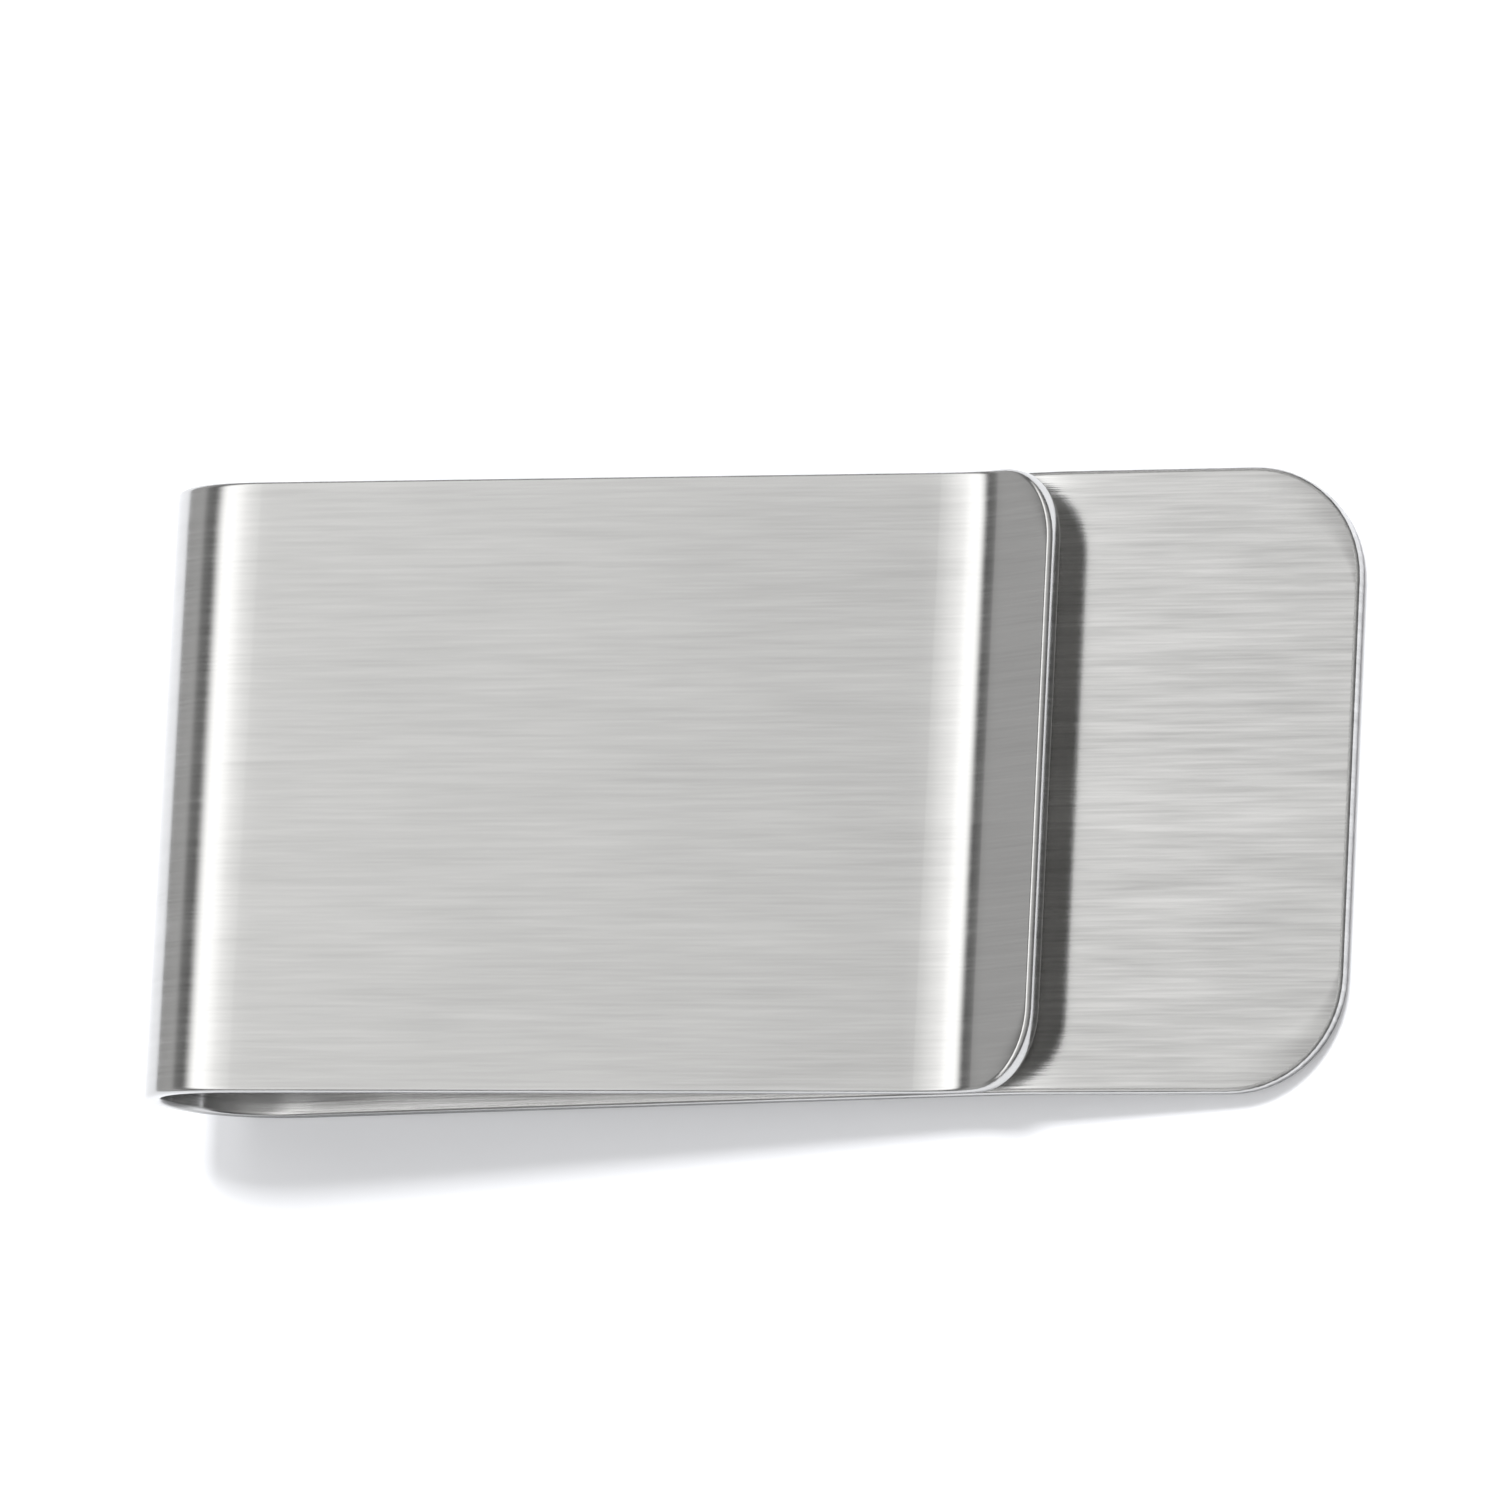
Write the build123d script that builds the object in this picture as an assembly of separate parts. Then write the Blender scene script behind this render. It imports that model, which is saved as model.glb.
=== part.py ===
"""Spring money clip: one bent strip of brushed stainless sheet.

The strip is cut at its bend lines into the stretches that act as separate members: the tab at the
back, the back arm, the two halves of the spring fold, the front arm and its lead-in lip.
Millimetres and degrees, +Z up. The clip lies on its back: the fold and the tab's free end rest on z = 0.
"""
from build123d import *
import math
import os

# ---- driving dimensions -------------------------------------------------------------------------
strip_width = 25.4         # sheet width, along Y
sheet = 0.7                # sheet thickness
edge_radius = 0.2          # rounding of the deburred edges
fold_inner_radius = 3.5    # inside radius of the spring fold
back_arm_length = 34.0     # flat stretch from the fold to the crest bend
crest_radius = 12.0        # gentle bend where the back arm turns down into the tab, at mid-sheet
crest_angle = 10.5         # how far the tab turns down from the back arm
tab_length = 12.5          # flat stretch of the tab, past the crest bend
tab_corner_radius = 4.7    # the tab's two outer corners, seen from above
nip_setback = 1.5          # the nip lies this far before the crest bend
nip_gap = 0.05             # clearance between the arms at the nip, at rest
lip_bend_radius = 3.5      # bend between the front arm and its lip, at mid-sheet
lip_bend_angle = 29.0      # how far the lip turns up from the front arm
lip_length = 3.3           # flat stretch of the lip, past its bend
lip_corner_radius = 3.2    # the lip's two outer corners, seen from above
crown_slit = 0.1           # slit at the fold's crown, between its fixed and its moving half

# ---- lines and centres of the bent strip, in a frame where the back arm is level ------------------
# Every point is on the sheet's middle surface, and is (along X, along Z).
half_sheet = sheet / 2
fold_radius = fold_inner_radius + half_sheet
fold_outer_radius = fold_inner_radius + sheet
fold_centre = (0.0, fold_radius)
nip_centre = (back_arm_length - nip_setback, half_sheet + nip_gap + half_sheet + lip_bend_radius)


def along(point, heading, distance):
    """The point at a distance from another, in a heading measured from +X towards +Z."""
    angle = math.radians(heading)
    return (point[0] + distance * math.cos(angle), point[1] + distance * math.sin(angle))


def front_arm_heading():
    """Heading of the line that leaves the fold's top and passes under the lip bend's centre."""
    run = nip_centre[0] - fold_centre[0]
    rise = nip_centre[1] - fold_centre[1]
    crossing = math.asin((fold_radius + lip_bend_radius) / math.hypot(run, rise))
    return math.degrees(math.atan2(rise, run) - crossing)


front_heading = front_arm_heading()
front_start = along(fold_centre, front_heading + 90, fold_radius)
front_end = along(nip_centre, front_heading - 90, lip_bend_radius)
front_arm_length = math.dist(front_start, front_end)
lip_heading = front_heading + lip_bend_angle
lip_start = along(nip_centre, lip_heading - 90, lip_bend_radius)

crest_centre = (back_arm_length, -crest_radius)
tab_heading = -crest_angle
tab_start = along(crest_centre, 90 - crest_angle, crest_radius)
tab_end = along(tab_start, tab_heading, tab_length)

fold_wrap = 180 - front_heading            # the fold runs from the back arm round to the front arm
crown_direction = -90 - fold_wrap / 2      # middle of that run, seen from the fold's centre
slit_angle = math.degrees(crown_slit / 2 / fold_outer_radius)
hinge_point = along(fold_centre, crown_direction, fold_outer_radius)


def resting_tilt():
    """Heading of the line that touches the fold and the tab's lower end edge from below."""
    inset = along(tab_end, tab_heading, -edge_radius)
    edge_centre = along(inset, tab_heading - 90, half_sheet - edge_radius)
    run = edge_centre[0] - fold_centre[0]
    rise = edge_centre[1] - fold_centre[1]
    slant = math.asin((edge_radius - fold_outer_radius) / math.hypot(run, rise))
    return math.degrees(math.atan2(rise, run) - slant)


# ---- shapes -------------------------------------------------------------------------------------
def section_plane(point, heading):
    """Plane across the strip at a point: its X runs along the width, its normal along the heading."""
    ahead = along((0, 0), heading, 1)
    return Plane(origin=(point[0], 0, point[1]), x_dir=(0, 1, 0), z_dir=(ahead[0], 0, ahead[1]))


def strip_section(point, heading):
    """Cross-section of the strip, with its deburred edges."""
    return section_plane(point, heading) * RectangleRounded(strip_width, sheet, edge_radius)


def flat_stretch(point, heading, length):
    """A flat stretch of the strip."""
    return extrude(strip_section(point, heading), amount=length)


def bent_stretch(centre, radius, direction, sweep):
    """A bent stretch: it starts in a direction from the centre and turns through sweep, + towards +Z."""
    start = along(centre, direction, radius)
    heading = direction + math.copysign(90, sweep)
    axis = Axis((centre[0], 0, centre[1]), (0, -math.copysign(1, sweep), 0))
    return revolve(strip_section(start, heading), axis=axis, revolution_arc=abs(sweep))


def free_end(point, heading, length, corner_radius):
    """A flat stretch that ends free, with two corners rounded in plan and its end edge deburred."""
    face_up = along((0, 0), heading + 90, 1)
    plane = Plane(
        origin=(point[0], 0, point[1]),
        x_dir=(math.cos(math.radians(heading)), 0, math.sin(math.radians(heading))),
        z_dir=(face_up[0], 0, face_up[1]),
    )
    plan = Rectangle(length, strip_width, align=(Align.MIN, Align.CENTER))
    plan = fillet(plan.vertices().group_by(Axis.X)[-1], corner_radius)
    plate = extrude(plan, amount=half_sheet, both=True)
    rims = [edge for edge in plate.edges() if abs(abs(edge.center().Z) - half_sheet) < 1e-6]
    rims = [edge for edge in rims if edge.center().X > 1e-6]
    return plane * fillet(rims, edge_radius)


# ---- members ------------------------------------------------------------------------------------
def back_plate():
    """Crest bend and the tab that stands out past the front arm."""
    crest = bent_stretch(crest_centre, crest_radius, 90, -crest_angle)
    return crest + free_end(tab_start, tab_heading, tab_length, tab_corner_radius)


def back_arm():
    """Flat stretch from the fold to the crest bend."""
    return flat_stretch((0, 0), 0, back_arm_length)


def fold_rear_half():
    """Half of the spring fold that stays with the back arm."""
    return bent_stretch(fold_centre, fold_radius, -90, -(fold_wrap / 2 - slit_angle))


def fold_front_half():
    """Half of the spring fold that moves with the front arm."""
    return bent_stretch(fold_centre, fold_radius, 90 + front_heading, fold_wrap / 2 - slit_angle)


def front_arm():
    """Flat stretch from the fold to the lip bend: the clip's broad front panel."""
    return flat_stretch(front_start, front_heading, front_arm_length)


def lead_in_lip():
    """Lip turned up at the front arm's end, so that notes slide in under it."""
    bend = bent_stretch(nip_centre, lip_bend_radius, front_heading - 90, lip_bend_angle)
    return bend + free_end(lip_start, lip_heading, lip_length, lip_corner_radius)


members = {
    "back_plate": back_plate(),
    "back_arm": back_arm(),
    "fold_rear_half": fold_rear_half(),
    "fold_front_half": fold_front_half(),
    "front_arm": front_arm(),
    "lead_in_lip": lead_in_lip(),
}

# ---- the clip as it lies on a table, with its origin under the middle of its box ------------------
lay_down = Rotation(0, resting_tilt(), 0)
laid = {name: lay_down * member for name, member in members.items()}
whole = Compound(children=[member.moved(Location()) for member in laid.values()]).bounding_box()
centring = Location((-whole.center().X, 0, -whole.min.Z))


def on_table(point):
    """Where a profile point lies once the clip rests on the table, as (x, z)."""
    placed = centring * lay_down * Location((point[0], 0, point[1]))
    return (placed.position.X, placed.position.Z)


os.makedirs("parts", exist_ok=True)
for name, member in laid.items():
    export_step(centring * member, f"parts/{name}.step")

print("hinge line (x, z):", on_table(hinge_point))
print("front arm slopes:", round(front_heading - resting_tilt(), 3), "degrees")
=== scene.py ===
"""Looks of the brushed-steel money clip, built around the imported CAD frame. Metres, +Z up."""

import math

import bmesh
import bpy
from mathutils import Matrix, Vector


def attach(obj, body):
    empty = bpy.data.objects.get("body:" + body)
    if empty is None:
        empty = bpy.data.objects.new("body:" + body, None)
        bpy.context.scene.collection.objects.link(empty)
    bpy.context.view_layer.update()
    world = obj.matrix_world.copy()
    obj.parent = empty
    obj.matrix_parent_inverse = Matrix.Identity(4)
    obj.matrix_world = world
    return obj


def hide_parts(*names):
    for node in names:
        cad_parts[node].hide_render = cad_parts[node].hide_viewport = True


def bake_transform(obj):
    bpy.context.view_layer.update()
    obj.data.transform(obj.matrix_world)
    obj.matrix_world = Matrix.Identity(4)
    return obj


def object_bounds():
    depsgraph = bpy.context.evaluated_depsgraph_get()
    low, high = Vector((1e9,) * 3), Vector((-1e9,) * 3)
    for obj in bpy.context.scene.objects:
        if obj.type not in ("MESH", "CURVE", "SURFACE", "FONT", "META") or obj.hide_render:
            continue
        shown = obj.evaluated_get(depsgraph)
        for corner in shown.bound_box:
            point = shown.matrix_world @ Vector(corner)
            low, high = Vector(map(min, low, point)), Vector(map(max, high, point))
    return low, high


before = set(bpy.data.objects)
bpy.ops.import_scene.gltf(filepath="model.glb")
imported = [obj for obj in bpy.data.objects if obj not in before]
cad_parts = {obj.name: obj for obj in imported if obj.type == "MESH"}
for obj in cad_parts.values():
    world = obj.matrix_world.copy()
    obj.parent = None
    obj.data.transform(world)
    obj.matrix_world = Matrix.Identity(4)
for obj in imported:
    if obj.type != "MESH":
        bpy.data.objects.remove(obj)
cad_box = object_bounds()

# ---- the bent strip, with the CAD part's own sizes, in metres and radians ------------------------
MM = 0.001
STRIP_WIDTH = 25.4 * MM
SHEET = 0.7 * MM
EDGE_RADIUS = 0.2 * MM
FOLD_INNER_RADIUS = 3.5 * MM
BACK_ARM_LENGTH = 34.0 * MM
CREST_RADIUS = 12.0 * MM
CREST_ANGLE = math.radians(10.5)
TAB_LENGTH = 12.5 * MM
TAB_CORNER = 4.7 * MM
NIP_SETBACK = 1.5 * MM
NIP_GAP = 0.05 * MM
LIP_BEND_RADIUS = 3.5 * MM
LIP_BEND_ANGLE = math.radians(29.0)
LIP_LENGTH = 3.3 * MM
LIP_CORNER = 3.2 * MM
HALF_SHEET = SHEET / 2
HALF_WIDTH = STRIP_WIDTH / 2
FOLD_RADIUS = FOLD_INNER_RADIUS + HALF_SHEET

# ---- how finely the meshes are cut ----------------------------------------------------------------
STATION_STEP = 0.4 * MM    # along the strip
CLEAR_SHARE = 0.05         # stations nearer than this share of a step are one
BEND_STEP = math.radians(3)    # round a bend
ROWS = 16                  # across the strip
EDGE_STEPS = 4             # round each deburred edge
CORNER_STEPS = 14          # round each corner of a free end
BEND_EASE = 1.5 * MM       # a bend fades into its flat over this much to each side
LIP_EASE = 0.9 * MM        # the same past the lip's bend
EASE_SAMPLES = 6           # points of the running mean, to each side
EASE_STEP = 0.02 * MM      # the heading is read over this much to each side
GRAIN_MAP = "grain"        # UV map in metres: along the strip, across it
FACE_APART = 1.0           # sets the inner face's grain apart from the outer face's


def along(point, heading, distance):
    """The (x, z) point at a distance from another."""
    return (point[0] + distance * math.cos(heading), point[1] + distance * math.sin(heading))


# ---- the strip's middle line, with the back arm level ---------------------------------------------
fold_centre = (0.0, FOLD_RADIUS)
nip_centre = (BACK_ARM_LENGTH - NIP_SETBACK, SHEET + NIP_GAP + LIP_BEND_RADIUS)
reach = math.dist(fold_centre, nip_centre)
front_heading = (math.atan2(nip_centre[1] - fold_centre[1], nip_centre[0] - fold_centre[0])
                 - math.asin((FOLD_RADIUS + LIP_BEND_RADIUS) / reach))
front_start = along(fold_centre, front_heading + math.pi / 2, FOLD_RADIUS)
front_end = along(nip_centre, front_heading - math.pi / 2, LIP_BEND_RADIUS)
front_length = math.dist(front_start, front_end)
crest_centre = (BACK_ARM_LENGTH, -CREST_RADIUS)
fold_wrap = math.pi - front_heading


class Run:
    """A straight or bent run of the middle line, walked from the tab's free end to the lip's."""

    def __init__(self, length, start=None, heading=0.0, centre=None, radius=0.0, direction=0.0, turn=0):
        self.length = length
        self.start = start
        self.heading = heading
        self.centre = centre
        self.radius = radius
        self.direction = direction
        self.turn = turn

    def at(self, distance):
        """(x, z) on the middle line and the heading there, at a distance into the run."""
        if self.centre is None:
            return along(self.start, self.heading, distance), self.heading
        direction = self.direction + self.turn * distance / self.radius
        return along(self.centre, direction, self.radius), direction + self.turn * math.pi / 2

    def stations(self):
        """Evenly spaced distances that cover the run."""
        step = STATION_STEP if self.centre is None else min(STATION_STEP, BEND_STEP * self.radius)
        count = max(2, math.ceil(self.length / step))
        return [self.length * i / count for i in range(count + 1)]


# The walk goes up the tab, over the crest, back along the back arm, round the fold and out again.
crest_start = along(crest_centre, math.pi / 2 - CREST_ANGLE, CREST_RADIUS)
tab_end = along(crest_start, -CREST_ANGLE, TAB_LENGTH)
runs = {
    "tab": Run(TAB_LENGTH, start=tab_end, heading=math.pi - CREST_ANGLE),
    "crest": Run(CREST_ANGLE * CREST_RADIUS, centre=crest_centre, radius=CREST_RADIUS,
                 direction=math.pi / 2 - CREST_ANGLE, turn=1),
    "back": Run(BACK_ARM_LENGTH, start=(BACK_ARM_LENGTH, 0.0), heading=math.pi),
    "fold": Run(fold_wrap * FOLD_RADIUS, centre=fold_centre, radius=FOLD_RADIUS,
                direction=-math.pi / 2, turn=-1),
    "front": Run(front_length, start=front_start, heading=front_heading),
    "lip_bend": Run(LIP_BEND_ANGLE * LIP_BEND_RADIUS, centre=nip_centre, radius=LIP_BEND_RADIUS,
                    direction=front_heading - math.pi / 2, turn=1),
}
lip_start, lip_heading = runs["lip_bend"].at(runs["lip_bend"].length)
runs["lip"] = Run(LIP_LENGTH, start=lip_start, heading=lip_heading)


def resting_tilt():
    """Heading of the line that touches the fold and the tab's lower end edge from below."""
    inset = along(tab_end, -CREST_ANGLE, -EDGE_RADIUS)
    edge = along(inset, -CREST_ANGLE - math.pi / 2, HALF_SHEET - EDGE_RADIUS)
    run, rise = edge[0] - fold_centre[0], edge[1] - fold_centre[1]
    slant = math.asin((EDGE_RADIUS - FOLD_RADIUS - HALF_SHEET) / math.hypot(run, rise))
    return math.atan2(rise, run) - slant


tilt = resting_tilt()
cos_tilt, sin_tilt = math.cos(-tilt), math.sin(-tilt)


def laid(x, z):
    """Turns a profile point so that the clip rests on the table."""
    return x * cos_tilt - z * sin_tilt, x * sin_tilt + z * cos_tilt


# The CAD frame says where the fold's outer side and its underside lie.
low = cad_box[0]
centre_x, centre_z = laid(*fold_centre)
SHIFT_X = low.x - (centre_x - FOLD_RADIUS - HALF_SHEET)
SHIFT_Z = low.z - (centre_z - FOLD_RADIUS - HALF_SHEET)


def run_start(name):
    """Distance along the strip at which a run starts."""
    names = list(runs)
    return sum(runs[n].length for n in names[:names.index(name)])


STRIP_LENGTH = sum(run.length for run in runs.values())


def middle_line(s):
    """(x, z) on the bent strip's middle line, s along it from the tab's free end."""
    for name, run in runs.items():
        if s <= run.length or name == "lip":
            return run.at(s)[0]
        s -= run.length


def softened(s):
    """The middle line with its bends eased into the flats by a short running mean."""
    into_lip = (s - run_start("lip_bend")) / runs["lip_bend"].length
    ease = BEND_EASE + (LIP_EASE - BEND_EASE) * min(1.0, max(0.0, into_lip))
    ease = min(ease, s, STRIP_LENGTH - s)
    near = [middle_line(s + ease * k / EASE_SAMPLES) for k in range(-EASE_SAMPLES, EASE_SAMPLES + 1)]
    return sum(p[0] for p in near) / len(near), sum(p[1] for p in near) / len(near)


def strip_point(s, y, off):
    """A place on the clip: s along the strip, y across it, off its middle surface."""
    here = softened(s)
    before, after = softened(max(0.0, s - EASE_STEP)), softened(min(STRIP_LENGTH, s + EASE_STEP))
    heading = math.atan2(after[1] - before[1], after[0] - before[0])
    x, z = laid(*along(here, heading + math.pi / 2, off))
    return Vector((x + SHIFT_X, y, z + SHIFT_Z))


# ---- meshes ---------------------------------------------------------------------------------------
class Station:
    """One cross-section: half the flat width there, and the outline's outward direction."""

    def __init__(self, s, half=HALF_WIDTH - EDGE_RADIUS, out=(0.0, 1.0)):
        self.s = s
        self.half = half
        self.out = out


def corner_stations(corner):
    """Stations round a free end's corners, as distances from that end."""
    made = []
    for i in range(CORNER_STEPS + 1):
        turn = math.pi / 2 * i / CORNER_STEPS
        inset = corner - EDGE_RADIUS
        made.append(Station(corner - inset * math.cos(turn), HALF_WIDTH - corner + inset * math.sin(turn),
                            (-math.cos(turn), math.sin(turn))))
    return made


def stations_between(low_s, high_s, corner_low=0.0, corner_high=0.0):
    """Stations of a piece, with a free end at its low or its high side where a corner is given."""
    made = []
    if corner_low:
        made += [Station(low_s + c.s, c.half, c.out) for c in corner_stations(corner_low)]
    first, last = low_s + corner_low, high_s - corner_high
    marks = {run_start(name) + d for name, run in runs.items() for d in run.stations()}
    clear = CLEAR_SHARE * STATION_STEP
    inner = []
    for s in sorted(marks):
        if first + clear < s < last - clear and (not inner or s - inner[-1] > clear):
            inner.append(s)
    if not corner_low:
        inner.insert(0, first)
    if not corner_high:
        inner.append(last)
    made += [Station(s) for s in inner]
    if corner_high:
        made += [Station(high_s - c.s, c.half, (-c.out[0], c.out[1]))
                 for c in reversed(corner_stations(corner_high))]
    return made


ROW_PLACES = [2 * j / ROWS - 1 for j in range(ROWS + 1)]    # across, as shares of the half width

# Turns round the rim from the outer face to the inner one, each with the height that it is centred on.
QUARTER = [math.pi / 2 * k / EDGE_STEPS for k in range(EDGE_STEPS + 1)]
RIM_TURNS = ([(turn, HALF_SHEET - EDGE_RADIUS) for turn in QUARTER[1:]]
             + [(math.pi / 2 + turn, EDGE_RADIUS - HALF_SHEET) for turn in QUARTER[:-1]])


class Shell:
    """Points, grain places and faces of a closed stretch of the strip."""

    def __init__(self, stations):
        self.stations = stations
        self.last = len(stations) - 1
        self.points = []
        self.grain = []
        self.faces = []
        self.rims = {}
        self.sides = {side: self.side_grid(side) for side in (1, -1)}

    def add(self, s, y, off, u, v):
        """Adds a point with its place in the grain and gives its number."""
        self.points.append(strip_point(s, y, off))
        self.grain.append((u, v))
        return len(self.points) - 1

    def side_grid(self, side):
        """The outer (1) or the inner (-1) face, up to where its edges start to round."""
        apart = FACE_APART if side < 0 else 0.0
        grid = [[self.add(st.s, st.half * t, side * HALF_SHEET, st.s, st.half * t + apart)
                 for t in ROW_PLACES] for st in self.stations]
        for a, b in zip(grid, grid[1:]):
            for j in range(ROWS):
                quad = (a[j], b[j], b[j + 1], a[j + 1])
                self.faces.append(quad if side > 0 else quad[::-1])
        return grid

    def rim_column(self, i, j):
        """Points round the edge, from the outer face to the inner one, at one place on the outline."""
        station = self.stations[i]
        if j in (0, ROWS):
            out = (station.out[0], station.out[1] if j == ROWS else -station.out[1])
        else:
            out = (math.copysign(1, station.out[0]), 0.0)
        y = station.half * ROW_PLACES[j]
        column = [self.sides[1][i][j]]
        for turn, middle in RIM_TURNS:
            bulge, arc = EDGE_RADIUS * math.sin(turn), EDGE_RADIUS * turn
            column.append(self.add(station.s + bulge * out[0], y + bulge * out[1],
                                   middle + EDGE_RADIUS * math.cos(turn),
                                   station.s + arc * out[0], y + arc * out[1]))
        return column + [self.sides[-1][i][j]]

    def add_rim(self, chain):
        """Rounds the edge along a chain of places on the outline."""
        columns = [self.rim_column(i, j) for i, j in chain]
        self.rims.update(zip(chain, columns))
        for a, b in zip(columns, columns[1:]):
            for k in range(len(a) - 1):
                self.faces.append((a[k], a[k + 1], b[k + 1], b[k]))

    def close_end(self, i):
        """Closes an end that meets the next piece."""
        left, right = self.rims[(i, 0)], self.rims[(i, ROWS)]
        self.faces.append(tuple(self.sides[1][i] + right[1:-1] + self.sides[-1][i][::-1] + left[-2:0:-1]))


def mesh_of(name, shell):
    """The shell as a mesh, smooth but for the ends that meet the next piece."""
    mesh = bpy.data.meshes.new(name)
    mesh.from_pydata(shell.points, [], shell.faces)
    layer = mesh.uv_layers.new(name=GRAIN_MAP)
    for loop in mesh.loops:
        layer.data[loop.index].uv = shell.grain[loop.vertex_index]
    work = bmesh.new()
    work.from_mesh(mesh)
    bmesh.ops.recalc_face_normals(work, faces=work.faces)
    for face in work.faces:
        face.smooth = len(face.verts) == 4
        if not face.smooth:
            for edge in face.edges:
                edge.smooth = False
    work.to_mesh(mesh)
    work.free()
    return mesh


def strip_piece(name, low_s, high_s, corner_low=0.0, corner_high=0.0):
    """A closed stretch of the strip between two places along it, with rounded edges."""
    shell = Shell(stations_between(low_s, high_s, corner_low, corner_high))
    left = [(i, 0) for i in range(shell.last + 1)]
    right = [(i, ROWS) for i in range(shell.last + 1)]
    if corner_low:
        shell.add_rim(left[::-1] + [(0, j) for j in range(1, ROWS)] + right)
    elif corner_high:
        shell.add_rim(left + [(shell.last, j) for j in range(1, ROWS)] + right[::-1])
    else:
        shell.add_rim(left)
        shell.add_rim(right)
    if not corner_low:
        shell.close_end(0)
    if not corner_high:
        shell.close_end(shell.last)
    piece = bpy.data.objects.new(name, mesh_of(name, shell))
    bpy.context.scene.collection.objects.link(piece)
    return piece


# ---- brushed steel --------------------------------------------------------------------------------
NOISE_LOW, NOISE_HIGH = 0.3, 0.7           # noise mostly lies between these
FINE_SWING, LINE_SWING, CLOUD_SWING = 0.5, 0.5, 0.35
STEEL_LEVEL, STEEL_SWING = 0.60, 0.045     # reflectance, and how far the brushing shifts it
STEEL_WARMTH = {"Red": 1.0, "Green": 0.995, "Blue": 0.98}
SMOOTHEST, ROUGHEST = 0.16, 0.26
BRUSH_BUMP = 0.15


def link(tree, source, target):
    """Joins two sockets."""
    tree.links.new(source, target)


def node(tree, kind, **inputs):
    """A node with its input sockets set by name, with _ for a space."""
    made = tree.nodes.new(kind)
    for name, value in inputs.items():
        made.inputs[name.replace("_", " ")].default_value = value
    return made


def streaks(tree, grain, along_scale, across_scale, detail, seed):
    """Noise stretched along the grain, from 0 to 1; scales are per metre."""
    stretch = node(tree, "ShaderNodeMapping", Scale=(along_scale, across_scale, 1.0),
                   Location=(seed, seed, seed))
    link(tree, grain, stretch.inputs["Vector"])
    noise = node(tree, "ShaderNodeTexNoise", Scale=1.0, Detail=detail, Roughness=0.6)
    link(tree, stretch.outputs["Vector"], noise.inputs["Vector"])
    return noise.outputs["Fac"]


def map_range(tree, value, from_low, from_high, to_low, to_high):
    """Maps a socket's range onto another, held at its ends."""
    made = node(tree, "ShaderNodeMapRange", From_Min=from_low, From_Max=from_high, To_Min=to_low,
                To_Max=to_high)
    link(tree, value, made.inputs["Value"])
    return made.outputs["Result"]


def spread(tree, noise, swing):
    """Noise as a level that swings to each side of 0."""
    return map_range(tree, noise, NOISE_LOW, NOISE_HIGH, -swing, swing)


def combine(tree, operation, a, b):
    """A math node on two sockets, or a socket and a number."""
    made = tree.nodes.new("ShaderNodeMath")
    made.operation = operation
    for socket, value in zip(made.inputs, (a, b)):
        if isinstance(value, float):
            socket.default_value = value
        else:
            link(tree, value, socket)
    return made.outputs["Value"]


def brushed_steel(name, coarse):
    """Stainless sheet brushed along its length; coarse says how strongly the brushing shows."""
    material = bpy.data.materials.new(name)
    material.use_nodes = True
    tree = material.node_tree
    shader = tree.nodes["Principled BSDF"]
    shader.inputs["Metallic"].default_value = 1.0
    shader.inputs["Anisotropic"].default_value = 0.75
    shader.inputs["Anisotropic Rotation"].default_value = 0.25    # a quarter turn from the brushing
    tangent = tree.nodes.new("ShaderNodeTangent")
    tangent.direction_type = "UV_MAP"
    tangent.uv_map = GRAIN_MAP
    link(tree, tangent.outputs["Tangent"], shader.inputs["Tangent"])
    uv = tree.nodes.new("ShaderNodeUVMap")
    uv.uv_map = GRAIN_MAP
    grain = uv.outputs["UV"]

    fine = streaks(tree, grain, along_scale=220.0, across_scale=9000.0, detail=3.0, seed=1.7)
    lines = streaks(tree, grain, along_scale=130.0, across_scale=3200.0, detail=2.0, seed=5.3)
    cloud = streaks(tree, grain, along_scale=110.0, across_scale=420.0, detail=2.0, seed=9.1)
    level = combine(tree, "ADD", spread(tree, fine, FINE_SWING), spread(tree, lines, LINE_SWING))
    level = combine(tree, "ADD", level, spread(tree, cloud, CLOUD_SWING))

    swing = STEEL_SWING * coarse
    tint = map_range(tree, level, -1.0, 1.0, STEEL_LEVEL - swing, STEEL_LEVEL + swing)
    colour = tree.nodes.new("ShaderNodeCombineColor")
    for channel, share in STEEL_WARMTH.items():
        link(tree, combine(tree, "MULTIPLY", tint, share), colour.inputs[channel])
    link(tree, colour.outputs["Color"], shader.inputs["Base Color"])
    link(tree, map_range(tree, level, -1.0, 1.0, SMOOTHEST, ROUGHEST), shader.inputs["Roughness"])

    bump = node(tree, "ShaderNodeBump", Strength=BRUSH_BUMP * coarse, Distance=0.01 * MM)
    link(tree, level, bump.inputs["Height"])
    link(tree, bump.outputs["Normal"], shader.inputs["Normal"])
    return material


panel_steel = brushed_steel("brushed_panel", coarse=1.0)
tab_steel = brushed_steel("brushed_tab", coarse=2.6)

# ---- the pieces -----------------------------------------------------------------------------------
SEAM = 1.0 * MM            # seams lie this far into a flat, so that the shading runs on across them
crest_seam = run_start("back") + SEAM
rear_seam = run_start("fold") - SEAM
front_seam = run_start("front") + SEAM
lip_seam = run_start("lip_bend") - SEAM
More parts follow.
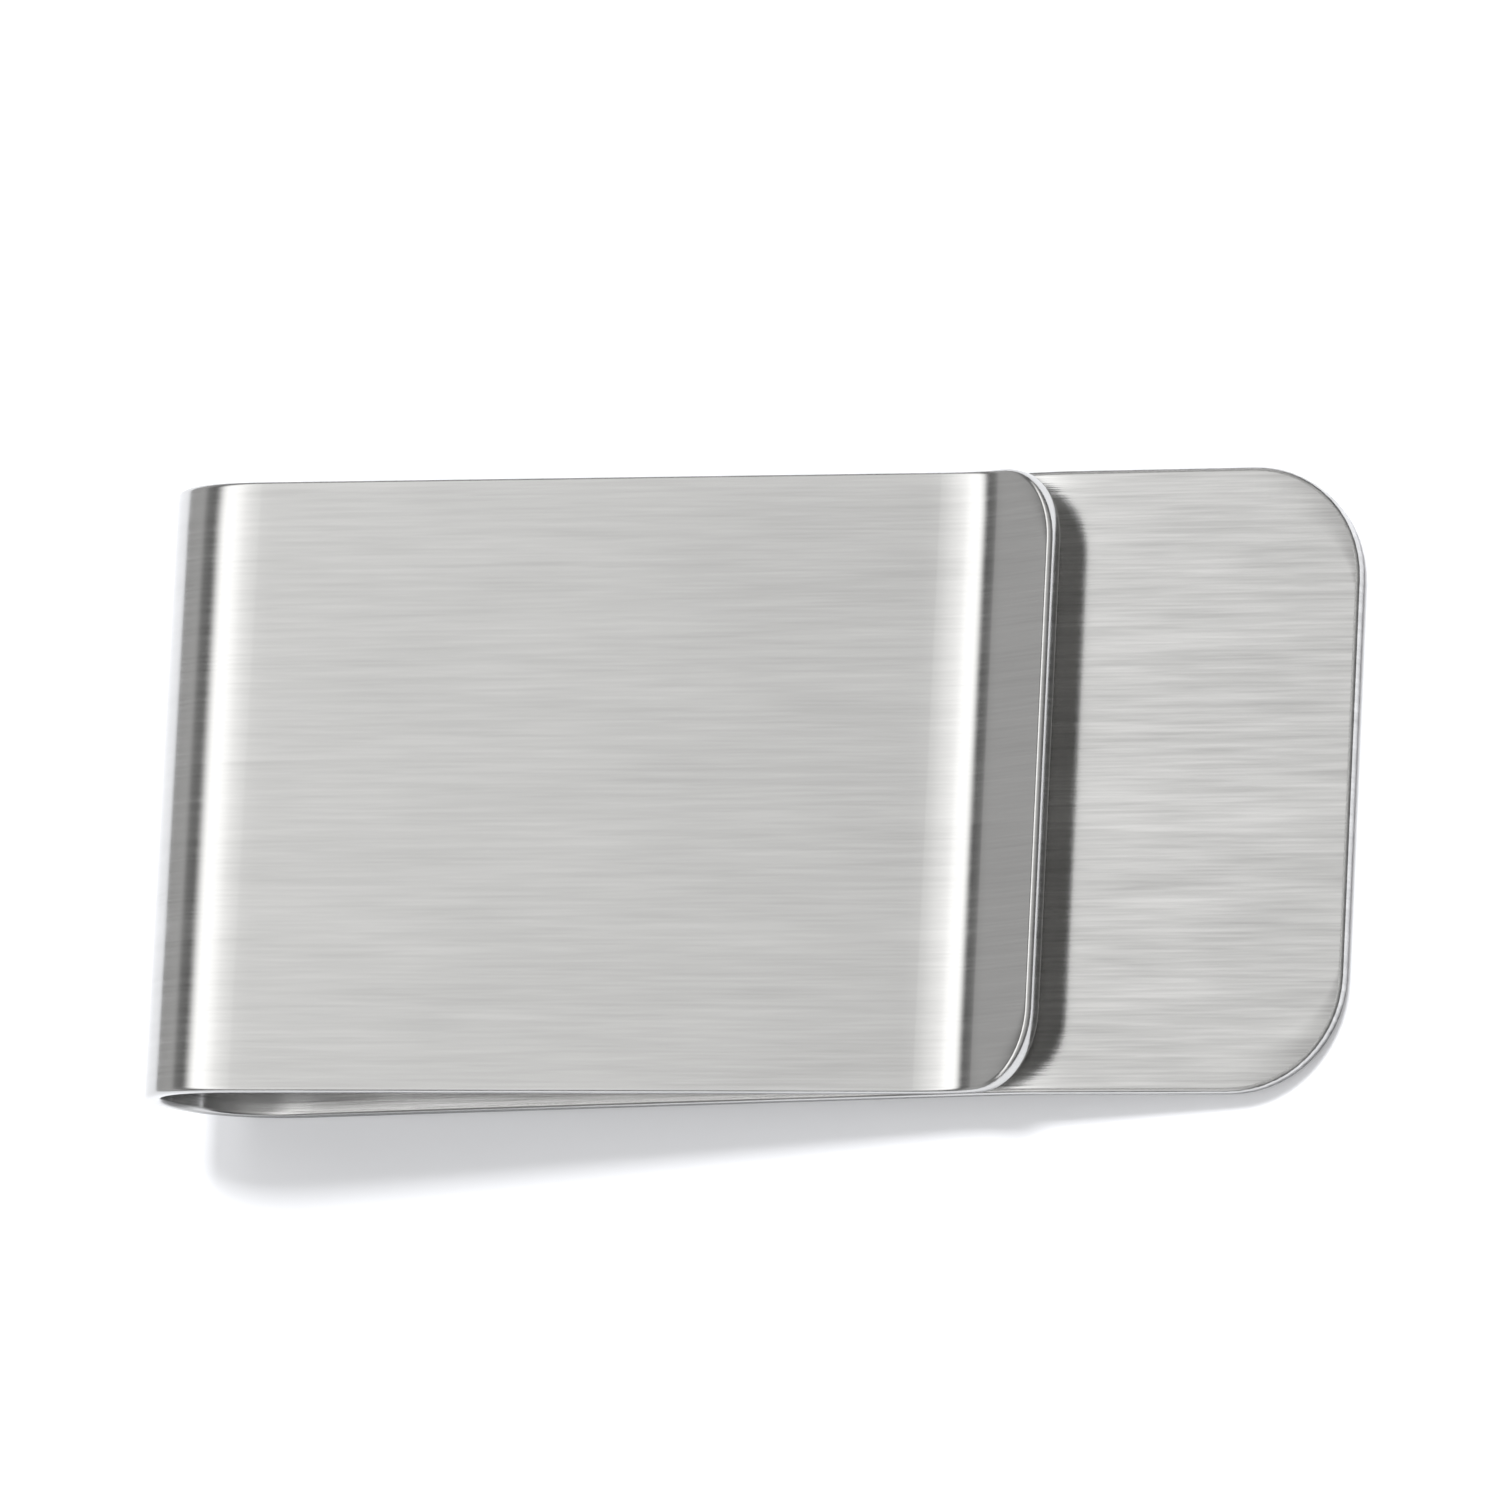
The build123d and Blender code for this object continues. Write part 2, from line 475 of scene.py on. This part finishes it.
# Each piece runs between two places along the strip, with the corners of a free end at its low or its
# high side. Then come its steel, the CAD nodes that it stands for and the body that it rides on. The
# fold rides on neither body; it joins the two.
SPANS = {
    "back_plate_visual": (0.0, crest_seam, TAB_CORNER, 0.0, tab_steel, ("back_plate",), "back"),
    "back_arm_visual": (crest_seam, rear_seam, 0.0, 0.0, panel_steel, ("back_arm",), "back"),
    "spring_fold": (rear_seam, front_seam, 0.0, 0.0, panel_steel,
                    ("fold_rear_half", "fold_front_half"), None),
    "front_arm_visual": (front_seam, lip_seam, 0.0, 0.0, panel_steel, ("front_arm",), "front"),
    "lip_visual": (lip_seam, STRIP_LENGTH, 0.0, LIP_CORNER, panel_steel, ("lead_in_lip",), "front"),
}
for name, (low_s, high_s, corner_low, corner_high, steel, nodes, body) in SPANS.items():
    piece = strip_piece(name, low_s, high_s, corner_low, corner_high)
    piece.data.materials.append(steel)
    if body:
        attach(piece, body)
    else:
        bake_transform(piece)
    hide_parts(*nodes)

# ---- floor ----------------------------------------------------------------------------------------
FLOOR_HALF = 0.6
FLOOR_COLOUR = (0.78, 0.79, 0.82, 1.0)
FLOOR_GLOW = 0.24          # lifts the floor to white for the camera alone


def floor_paper():
    """Pale matt paper that reaches white for the camera and still shows shadow."""
    paper = bpy.data.materials.new("pale_floor")
    paper.use_nodes = True
    tree = paper.node_tree
    tree.nodes.remove(tree.nodes["Principled BSDF"])
    diffuse = node(tree, "ShaderNodeBsdfDiffuse", Color=FLOOR_COLOUR)
    glow = node(tree, "ShaderNodeEmission", Color=(1.0, 1.0, 1.0, 1.0))
    rays = tree.nodes.new("ShaderNodeLightPath")
    lift = combine(tree, "MULTIPLY", rays.outputs["Is Camera Ray"], FLOOR_GLOW)
    link(tree, lift, glow.inputs["Strength"])
    both = tree.nodes.new("ShaderNodeAddShader")
    link(tree, diffuse.outputs["BSDF"], both.inputs[0])
    link(tree, glow.outputs["Emission"], both.inputs[1])
    link(tree, both.outputs["Shader"], tree.nodes["Material Output"].inputs["Surface"])
    return paper


floor_mesh = bpy.data.meshes.new("floor")
floor_corners = [(x * FLOOR_HALF, y * FLOOR_HALF, 0) for x, y in ((-1, -1), (1, -1), (1, 1), (-1, 1))]
floor_mesh.from_pydata(floor_corners, [], [(0, 1, 2, 3)])
floor_mesh.materials.append(floor_paper())
floor = bpy.data.objects.new("floor", floor_mesh)
bpy.context.scene.collection.objects.link(floor)

# ---- light ----------------------------------------------------------------------------------------
STUDIO_PEAK = 1.9          # the world's strength where the studio is brightest

# Brightness by lean from straight overhead towards the fold's side, in degrees, as a share of the peak.
STUDIO = [(-180, 0.20), (-110, 0.12), (-80, 0.08), (-50, 0.15), (-20, 0.30), (6, 0.38), (10, 0.44),
          (13.5, 0.56), (19, 0.66), (25, 0.95), (34, 1.0), (46, 0.08), (55, 0.12), (64, 0.28), (86, 0.25),
          (106, 0.06), (135, 0.06), (180, 0.20)]

# It fades towards both sides of the strip, between these sines of the angle, to a share of its brightness.
FADE_FROM, FADE_TO = 0.55, 0.95
FADE_LEFT = 0.3


def lean_ramp(tree, lean):
    """The studio's brightness for a lean in radians."""
    ramp = tree.nodes.new("ShaderNodeValToRGB")
    ramp.color_ramp.interpolation = "EASE"
    stops = ramp.color_ramp.elements
    at_end = {0: 0, len(STUDIO) - 1: -1}
    for i, (degrees, level) in enumerate(STUDIO):
        stop = stops[at_end[i]] if i in at_end else stops.new((degrees + 180) / 360)
        stop.color = (level, level, level, 1.0)
    link(tree, map_range(tree, lean, -math.pi, math.pi, 0.0, 1.0), ramp.inputs["Fac"])
    return ramp.outputs["Color"]


def studio_world():
    """White to the camera. To the metal, a soft box overhead with darker studio walls beside it."""
    world = bpy.data.worlds.new("studio")
    bpy.context.scene.world = world
    world.use_nodes = True
    tree = world.node_tree
    where = tree.nodes.new("ShaderNodeTexCoord")
    parts = tree.nodes.new("ShaderNodeSeparateXYZ")
    link(tree, where.outputs["Generated"], parts.inputs["Vector"])
    to_fold = combine(tree, "MULTIPLY", parts.outputs["X"], -1.0)
    lean = combine(tree, "ARCTAN2", to_fold, parts.outputs["Z"])
    across = combine(tree, "ABSOLUTE", parts.outputs["Y"], 0.0)
    peak = map_range(tree, across, FADE_FROM, FADE_TO, STUDIO_PEAK, STUDIO_PEAK * FADE_LEFT)
    scaled = tree.nodes.new("ShaderNodeVectorMath")
    scaled.operation = "SCALE"
    link(tree, lean_ramp(tree, lean), scaled.inputs[0])
    link(tree, peak, scaled.inputs["Scale"])
    mix = tree.nodes.new("ShaderNodeMix")
    mix.data_type = "RGBA"
    rays = tree.nodes.new("ShaderNodeLightPath")
    link(tree, rays.outputs["Is Camera Ray"], mix.inputs["Factor"])
    link(tree, scaled.outputs["Vector"], mix.inputs["A"])
    mix.inputs["B"].default_value = (1.0, 1.0, 1.0, 1.0)
    link(tree, mix.outputs["Result"], tree.nodes["Background"].inputs["Color"])


studio_world()

LAMP_WIDTH, LAMP_DEPTH = 0.16, 0.12
LAMP_WATTS = 2.2
LAMP_PLACE = (0.02, 0.18, 0.40)
lamp_data = bpy.data.lights.new("soft_box", "AREA")
lamp_data.shape = "RECTANGLE"
lamp_data.size, lamp_data.size_y = LAMP_WIDTH, LAMP_DEPTH
lamp_data.energy = LAMP_WATTS
lamp = bpy.data.objects.new("soft_box", lamp_data)
lamp.location = LAMP_PLACE
lamp.rotation_mode = "QUATERNION"
lamp.rotation_quaternion = (-lamp.location).to_track_quat("-Z", "Y")
lamp.visible_glossy = False
bpy.context.scene.collection.objects.link(lamp)

# ---- camera ---------------------------------------------------------------------------------------
CAMERA_FAR = 0.55
LEAN_RIGHT = math.radians(29.5)    # towards the tab's side
LEAN_NEAR = math.radians(9.0)      # towards the strip's near edge
ROLL = math.radians(-0.4)
IMAGE_PIXELS = 1500
PIXELS_PER_MM = 24.6               # at the clip
AIM = Vector((0.5 * MM, 1.5 * MM, 3.5 * MM))
panel_slope = tilt - front_heading
toward = Vector((math.sin(LEAN_RIGHT), -math.sin(LEAN_NEAR), math.cos(LEAN_RIGHT))).normalized()
panel_edge = Vector((math.cos(panel_slope), 0, -math.sin(panel_slope)))
side = (panel_edge - panel_edge.dot(toward) * toward).normalized()
up = side.cross(-toward)
level_view = Matrix((side, up, toward)).transposed()

camera_data = bpy.data.cameras.new("camera")
camera_data.lens = camera_data.sensor_width * CAMERA_FAR * PIXELS_PER_MM / MM / IMAGE_PIXELS
camera = bpy.data.objects.new("camera", camera_data)
camera.rotation_mode = "QUATERNION"
camera.rotation_quaternion = (level_view @ Matrix.Rotation(ROLL, 3, "Z")).to_quaternion()
camera.location = AIM + toward * CAMERA_FAR
bpy.context.scene.collection.objects.link(camera)
bpy.context.scene.camera = camera
bpy.context.scene.view_settings.view_transform = "Standard"
